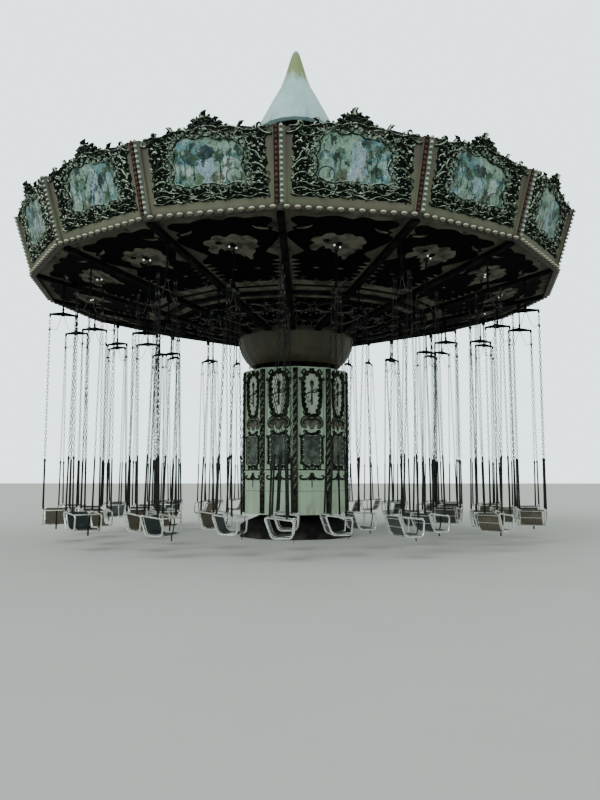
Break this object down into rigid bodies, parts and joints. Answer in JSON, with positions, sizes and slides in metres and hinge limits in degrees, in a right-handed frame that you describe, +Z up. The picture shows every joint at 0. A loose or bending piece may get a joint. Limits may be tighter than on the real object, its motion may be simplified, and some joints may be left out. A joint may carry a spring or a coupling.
{
  "type": "chair swing ride",
  "caption": "Fairground swing ride: a round crown of ornate boards turns on a column and carries rows of chairs on chains.",
  "frame": {"origin": "on the ground, on the axis of the column, at the bottom centre of the bounding box", "axes": "+Z up along the column; one corner of the crown points along -Y, where the picture was taken from"},
  "size_m": [13.2054, 13.2054, 12.45],
  "materials": {
    "black_paint": "matt black paint",
    "column_paint": "pale mint paint with dark ornament",
    "dark_steel": "dark painted steel",
    "bowl_paint": "dark brown paint",
    "ceiling_paint": "dark grey paint with scrolled ornament",
    "board_paint": "olive grey paint with rococo ornament",
    "rail_paint": "red brown paint, weathered",
    "roof_sheet": "weathered pale sheet",
    "cap_paint": "ice white paint, weathered yellow at the tip",
    "chair_steel": "bright bent tube with painted seat and back"
  },
  "bodies": {
    "tower": {"plinth": "black_paint", "column_skirt": "column_paint", "column_panels": "column_paint", "slew_ring": "dark_steel"},
    "crown": {"bowl": "bowl_paint", "ceiling": "ceiling_paint", "sweep_frame": "dark_steel", "crown_boards": "board_paint", "rim_rail": "rail_paint", "roof": "roof_sheet", "crown_mast": "dark_steel", "crown_cap": "cap_paint"},
    "swing_01": {"chair_01": "chair_steel"},
    "swing_02": {"chair_02": "chair_steel"},
    "swing_03": {"chair_03": "chair_steel"},
    "swing_04": {"chair_04": "chair_steel"},
    "swing_05": {"chair_05": "chair_steel"},
    "swing_06": {"chair_06": "chair_steel"},
    "swing_07": {"chair_07": "chair_steel"},
    "swing_08": {"chair_08": "chair_steel"},
    "swing_09": {"chair_09": "chair_steel"},
    "swing_10": {"chair_10": "chair_steel"},
    "swing_11": {"chair_11": "chair_steel"},
    "swing_12": {"chair_12": "chair_steel"},
    "swing_13": {"chair_13": "chair_steel"},
    "swing_14": {"chair_14": "chair_steel"},
    "swing_15": {"chair_15": "chair_steel"},
    "swing_16": {"chair_16": "chair_steel"},
    "swing_17": {"chair_17": "chair_steel"},
    "swing_18": {"chair_18": "chair_steel"},
    "swing_19": {"chair_19": "chair_steel"},
    "swing_20": {"chair_20": "chair_steel"},
    "swing_21": {"chair_21": "chair_steel"},
    "swing_22": {"chair_22": "chair_steel"},
    "swing_23": {"chair_23": "chair_steel"},
    "swing_24": {"chair_24": "chair_steel"},
    "swing_25": {"chair_25": "chair_steel"},
    "swing_26": {"chair_26": "chair_steel"},
    "swing_27": {"chair_27": "chair_steel"},
    "swing_28": {"chair_28": "chair_steel"},
    "swing_29": {"chair_29": "chair_steel"},
    "swing_30": {"chair_30": "chair_steel"},
    "swing_31": {"chair_31": "chair_steel"},
    "swing_32": {"chair_32": "chair_steel"},
    "swing_33": {"chair_33": "chair_steel"},
    "swing_34": {"chair_34": "chair_steel"},
    "swing_35": {"chair_35": "chair_steel"},
    "swing_36": {"chair_36": "chair_steel"},
    "swing_37": {"chair_37": "chair_steel"},
    "swing_38": {"chair_38": "chair_steel"},
    "swing_39": {"chair_39": "chair_steel"},
    "swing_40": {"chair_40": "chair_steel"},
    "swing_41": {"chair_41": "chair_steel"},
    "swing_42": {"chair_42": "chair_steel"},
    "swing_43": {"chair_43": "chair_steel"},
    "swing_44": {"chair_44": "chair_steel"},
    "swing_45": {"chair_45": "chair_steel"},
    "swing_46": {"chair_46": "chair_steel"},
    "swing_47": {"chair_47": "chair_steel"},
    "swing_48": {"chair_48": "chair_steel"}
  },
  "joints": [
    {"name": "crown_spin", "type": "hinge", "parent": "tower", "child": "crown", "pos_m": [0, 0, 4.11], "axis": [0, 0, 1], "continuous": true},
    {"name": "chair_swing_01", "type": "hinge", "parent": "crown", "child": "swing_01", "pos_m": [0, -5.54, 5.6153], "axis": [-1, 0, 0], "range_deg": [-8, 45]},
    {"name": "chair_swing_02", "type": "hinge", "parent": "crown", "child": "swing_02", "pos_m": [2.12007, -5.11829, 5.6153], "axis": [-0.9239, -0.3827, 0], "range_deg": [-8, 45]},
    {"name": "chair_swing_03", "type": "hinge", "parent": "crown", "child": "swing_03", "pos_m": [3.91737, -3.91737, 5.6153], "axis": [-0.7071, -0.7071, 0], "range_deg": [-8, 45]},
    {"name": "chair_swing_04", "type": "hinge", "parent": "crown", "child": "swing_04", "pos_m": [5.11829, -2.12007, 5.6153], "axis": [-0.3827, -0.9239, 0], "range_deg": [-8, 45]},
    {"name": "chair_swing_05", "type": "hinge", "parent": "crown", "child": "swing_05", "pos_m": [5.54, 0, 5.6153], "axis": [0, -1, 0], "range_deg": [-8, 45]},
    {"name": "chair_swing_06", "type": "hinge", "parent": "crown", "child": "swing_06", "pos_m": [5.11829, 2.12007, 5.6153], "axis": [0.3827, -0.9239, 0], "range_deg": [-8, 45]},
    {"name": "chair_swing_07", "type": "hinge", "parent": "crown", "child": "swing_07", "pos_m": [3.91737, 3.91737, 5.6153], "axis": [0.7071, -0.7071, 0], "range_deg": [-8, 45]},
    {"name": "chair_swing_08", "type": "hinge", "parent": "crown", "child": "swing_08", "pos_m": [2.12007, 5.11829, 5.6153], "axis": [0.9239, -0.3827, 0], "range_deg": [-8, 45]},
    {"name": "chair_swing_09", "type": "hinge", "parent": "crown", "child": "swing_09", "pos_m": [0, 5.54, 5.6153], "axis": [1, 0, 0], "range_deg": [-8, 45]},
    {"name": "chair_swing_10", "type": "hinge", "parent": "crown", "child": "swing_10", "pos_m": [-2.12007, 5.11829, 5.6153], "axis": [0.9239, 0.3827, 0], "range_deg": [-8, 45]},
    {"name": "chair_swing_11", "type": "hinge", "parent": "crown", "child": "swing_11", "pos_m": [-3.91737, 3.91737, 5.6153], "axis": [0.7071, 0.7071, 0], "range_deg": [-8, 45]},
    {"name": "chair_swing_12", "type": "hinge", "parent": "crown", "child": "swing_12", "pos_m": [-5.11829, 2.12007, 5.6153], "axis": [0.3827, 0.9239, 0], "range_deg": [-8, 45]},
    {"name": "chair_swing_13", "type": "hinge", "parent": "crown", "child": "swing_13", "pos_m": [-5.54, 0, 5.6153], "axis": [0, 1, 0], "range_deg": [-8, 45]},
    {"name": "chair_swing_14", "type": "hinge", "parent": "crown", "child": "swing_14", "pos_m": [-5.11829, -2.12007, 5.6153], "axis": [-0.3827, 0.9239, 0], "range_deg": [-8, 45]},
    {"name": "chair_swing_15", "type": "hinge", "parent": "crown", "child": "swing_15", "pos_m": [-3.91737, -3.91737, 5.6153], "axis": [-0.7071, 0.7071, 0], "range_deg": [-8, 45]},
    {"name": "chair_swing_16", "type": "hinge", "parent": "crown", "child": "swing_16", "pos_m": [-2.12007, -5.11829, 5.6153], "axis": [-0.9239, 0.3827, 0], "range_deg": [-8, 45]},
    {"name": "chair_swing_17", "type": "hinge", "parent": "crown", "child": "swing_17", "pos_m": [0.95009, -4.77642, 5.57585], "axis": [-0.9808, -0.1951, 0], "range_deg": [-8, 45]},
    {"name": "chair_swing_18", "type": "hinge", "parent": "crown", "child": "swing_18", "pos_m": [2.70563, -4.04926, 5.57585], "axis": [-0.8315, -0.5556, 0], "range_deg": [-8, 45]},
    {"name": "chair_swing_19", "type": "hinge", "parent": "crown", "child": "swing_19", "pos_m": [4.04926, -2.70563, 5.57585], "axis": [-0.5556, -0.8315, 0], "range_deg": [-8, 45]},
    {"name": "chair_swing_20", "type": "hinge", "parent": "crown", "child": "swing_20", "pos_m": [4.77642, -0.95009, 5.57585], "axis": [-0.1951, -0.9808, 0], "range_deg": [-8, 45]},
    {"name": "chair_swing_21", "type": "hinge", "parent": "crown", "child": "swing_21", "pos_m": [4.77642, 0.95009, 5.57585], "axis": [0.1951, -0.9808, 0], "range_deg": [-8, 45]},
    {"name": "chair_swing_22", "type": "hinge", "parent": "crown", "child": "swing_22", "pos_m": [4.04926, 2.70563, 5.57585], "axis": [0.5556, -0.8315, 0], "range_deg": [-8, 45]},
    {"name": "chair_swing_23", "type": "hinge", "parent": "crown", "child": "swing_23", "pos_m": [2.70563, 4.04926, 5.57585], "axis": [0.8315, -0.5556, 0], "range_deg": [-8, 45]},
    {"name": "chair_swing_24", "type": "hinge", "parent": "crown", "child": "swing_24", "pos_m": [0.95009, 4.77642, 5.57585], "axis": [0.9808, -0.1951, 0], "range_deg": [-8, 45]},
    {"name": "chair_swing_25", "type": "hinge", "parent": "crown", "child": "swing_25", "pos_m": [-0.95009, 4.77642, 5.57585], "axis": [0.9808, 0.1951, 0], "range_deg": [-8, 45]},
    {"name": "chair_swing_26", "type": "hinge", "parent": "crown", "child": "swing_26", "pos_m": [-2.70563, 4.04926, 5.57585], "axis": [0.8315, 0.5556, 0], "range_deg": [-8, 45]},
    {"name": "chair_swing_27", "type": "hinge", "parent": "crown", "child": "swing_27", "pos_m": [-4.04926, 2.70563, 5.57585], "axis": [0.5556, 0.8315, 0], "range_deg": [-8, 45]},
    {"name": "chair_swing_28", "type": "hinge", "parent": "crown", "child": "swing_28", "pos_m": [-4.77642, 0.95009, 5.57585], "axis": [0.1951, 0.9808, 0], "range_deg": [-8, 45]},
    {"name": "chair_swing_29", "type": "hinge", "parent": "crown", "child": "swing_29", "pos_m": [-4.77642, -0.95009, 5.57585], "axis": [-0.1951, 0.9808, 0], "range_deg": [-8, 45]},
    {"name": "chair_swing_30", "type": "hinge", "parent": "crown", "child": "swing_30", "pos_m": [-4.04926, -2.70563, 5.57585], "axis": [-0.5556, 0.8315, 0], "range_deg": [-8, 45]},
    {"name": "chair_swing_31", "type": "hinge", "parent": "crown", "child": "swing_31", "pos_m": [-2.70563, -4.04926, 5.57585], "axis": [-0.8315, 0.5556, 0], "range_deg": [-8, 45]},
    {"name": "chair_swing_32", "type": "hinge", "parent": "crown", "child": "swing_32", "pos_m": [-0.95009, -4.77642, 5.57585], "axis": [-0.9808, 0.1951, 0], "range_deg": [-8, 45]},
    {"name": "chair_swing_33", "type": "hinge", "parent": "crown", "child": "swing_33", "pos_m": [0, -3.72, 5.20526], "axis": [-1, 0, 0], "range_deg": [-8, 45]},
    {"name": "chair_swing_34", "type": "hinge", "parent": "crown", "child": "swing_34", "pos_m": [1.42358, -3.43683, 5.20526], "axis": [-0.9239, -0.3827, 0], "range_deg": [-8, 45]},
    {"name": "chair_swing_35", "type": "hinge", "parent": "crown", "child": "swing_35", "pos_m": [2.63044, -2.63044, 5.20526], "axis": [-0.7071, -0.7071, 0], "range_deg": [-8, 45]},
    {"name": "chair_swing_36", "type": "hinge", "parent": "crown", "child": "swing_36", "pos_m": [3.43683, -1.42358, 5.20526], "axis": [-0.3827, -0.9239, 0], "range_deg": [-8, 45]},
    {"name": "chair_swing_37", "type": "hinge", "parent": "crown", "child": "swing_37", "pos_m": [3.72, 0, 5.20526], "axis": [0, -1, 0], "range_deg": [-8, 45]},
    {"name": "chair_swing_38", "type": "hinge", "parent": "crown", "child": "swing_38", "pos_m": [3.43683, 1.42358, 5.20526], "axis": [0.3827, -0.9239, 0], "range_deg": [-8, 45]},
    {"name": "chair_swing_39", "type": "hinge", "parent": "crown", "child": "swing_39", "pos_m": [2.63044, 2.63044, 5.20526], "axis": [0.7071, -0.7071, 0], "range_deg": [-8, 45]},
    {"name": "chair_swing_40", "type": "hinge", "parent": "crown", "child": "swing_40", "pos_m": [1.42358, 3.43683, 5.20526], "axis": [0.9239, -0.3827, 0], "range_deg": [-8, 45]},
    {"name": "chair_swing_41", "type": "hinge", "parent": "crown", "child": "swing_41", "pos_m": [0, 3.72, 5.20526], "axis": [1, 0, 0], "range_deg": [-8, 45]},
    {"name": "chair_swing_42", "type": "hinge", "parent": "crown", "child": "swing_42", "pos_m": [-1.42358, 3.43683, 5.20526], "axis": [0.9239, 0.3827, 0], "range_deg": [-8, 45]},
    {"name": "chair_swing_43", "type": "hinge", "parent": "crown", "child": "swing_43", "pos_m": [-2.63044, 2.63044, 5.20526], "axis": [0.7071, 0.7071, 0], "range_deg": [-8, 45]},
    {"name": "chair_swing_44", "type": "hinge", "parent": "crown", "child": "swing_44", "pos_m": [-3.43683, 1.42358, 5.20526], "axis": [0.3827, 0.9239, 0], "range_deg": [-8, 45]},
    {"name": "chair_swing_45", "type": "hinge", "parent": "crown", "child": "swing_45", "pos_m": [-3.72, 0, 5.20526], "axis": [0, 1, 0], "range_deg": [-8, 45]},
    {"name": "chair_swing_46", "type": "hinge", "parent": "crown", "child": "swing_46", "pos_m": [-3.43683, -1.42358, 5.20526], "axis": [-0.3827, 0.9239, 0], "range_deg": [-8, 45]},
    {"name": "chair_swing_47", "type": "hinge", "parent": "crown", "child": "swing_47", "pos_m": [-2.63044, -2.63044, 5.20526], "axis": [-0.7071, 0.7071, 0], "range_deg": [-8, 45]},
    {"name": "chair_swing_48", "type": "hinge", "parent": "crown", "child": "swing_48", "pos_m": [-1.42358, -3.43683, 5.20526], "axis": [-0.9239, 0.3827, 0], "range_deg": [-8, 45]}
  ],
  "couplings": [
    {"joint": "chair_swing_02", "follows": "chair_swing_01", "ratio": 1},
    {"joint": "chair_swing_03", "follows": "chair_swing_01", "ratio": 1},
    {"joint": "chair_swing_04", "follows": "chair_swing_01", "ratio": 1},
    {"joint": "chair_swing_05", "follows": "chair_swing_01", "ratio": 1},
    {"joint": "chair_swing_06", "follows": "chair_swing_01", "ratio": 1},
    {"joint": "chair_swing_07", "follows": "chair_swing_01", "ratio": 1},
    {"joint": "chair_swing_08", "follows": "chair_swing_01", "ratio": 1},
    {"joint": "chair_swing_09", "follows": "chair_swing_01", "ratio": 1},
    {"joint": "chair_swing_10", "follows": "chair_swing_01", "ratio": 1},
    {"joint": "chair_swing_11", "follows": "chair_swing_01", "ratio": 1},
    {"joint": "chair_swing_12", "follows": "chair_swing_01", "ratio": 1},
    {"joint": "chair_swing_13", "follows": "chair_swing_01", "ratio": 1},
    {"joint": "chair_swing_14", "follows": "chair_swing_01", "ratio": 1},
    {"joint": "chair_swing_15", "follows": "chair_swing_01", "ratio": 1},
    {"joint": "chair_swing_16", "follows": "chair_swing_01", "ratio": 1},
    {"joint": "chair_swing_17", "follows": "chair_swing_01", "ratio": 1},
    {"joint": "chair_swing_18", "follows": "chair_swing_01", "ratio": 1},
    {"joint": "chair_swing_19", "follows": "chair_swing_01", "ratio": 1},
    {"joint": "chair_swing_20", "follows": "chair_swing_01", "ratio": 1},
    {"joint": "chair_swing_21", "follows": "chair_swing_01", "ratio": 1},
    {"joint": "chair_swing_22", "follows": "chair_swing_01", "ratio": 1},
    {"joint": "chair_swing_23", "follows": "chair_swing_01", "ratio": 1},
    {"joint": "chair_swing_24", "follows": "chair_swing_01", "ratio": 1},
    {"joint": "chair_swing_25", "follows": "chair_swing_01", "ratio": 1},
    {"joint": "chair_swing_26", "follows": "chair_swing_01", "ratio": 1},
    {"joint": "chair_swing_27", "follows": "chair_swing_01", "ratio": 1},
    {"joint": "chair_swing_28", "follows": "chair_swing_01", "ratio": 1},
    {"joint": "chair_swing_29", "follows": "chair_swing_01", "ratio": 1},
    {"joint": "chair_swing_30", "follows": "chair_swing_01", "ratio": 1},
    {"joint": "chair_swing_31", "follows": "chair_swing_01", "ratio": 1},
    {"joint": "chair_swing_32", "follows": "chair_swing_01", "ratio": 1},
    {"joint": "chair_swing_33", "follows": "chair_swing_01", "ratio": 1},
    {"joint": "chair_swing_34", "follows": "chair_swing_01", "ratio": 1},
    {"joint": "chair_swing_35", "follows": "chair_swing_01", "ratio": 1},
    {"joint": "chair_swing_36", "follows": "chair_swing_01", "ratio": 1},
    {"joint": "chair_swing_37", "follows": "chair_swing_01", "ratio": 1},
    {"joint": "chair_swing_38", "follows": "chair_swing_01", "ratio": 1},
    {"joint": "chair_swing_39", "follows": "chair_swing_01", "ratio": 1},
    {"joint": "chair_swing_40", "follows": "chair_swing_01", "ratio": 1},
    {"joint": "chair_swing_41", "follows": "chair_swing_01", "ratio": 1},
    {"joint": "chair_swing_42", "follows": "chair_swing_01", "ratio": 1},
    {"joint": "chair_swing_43", "follows": "chair_swing_01", "ratio": 1},
    {"joint": "chair_swing_44", "follows": "chair_swing_01", "ratio": 1},
    {"joint": "chair_swing_45", "follows": "chair_swing_01", "ratio": 1},
    {"joint": "chair_swing_46", "follows": "chair_swing_01", "ratio": 1},
    {"joint": "chair_swing_47", "follows": "chair_swing_01", "ratio": 1},
    {"joint": "chair_swing_48", "follows": "chair_swing_01", "ratio": 1}
  ]
}
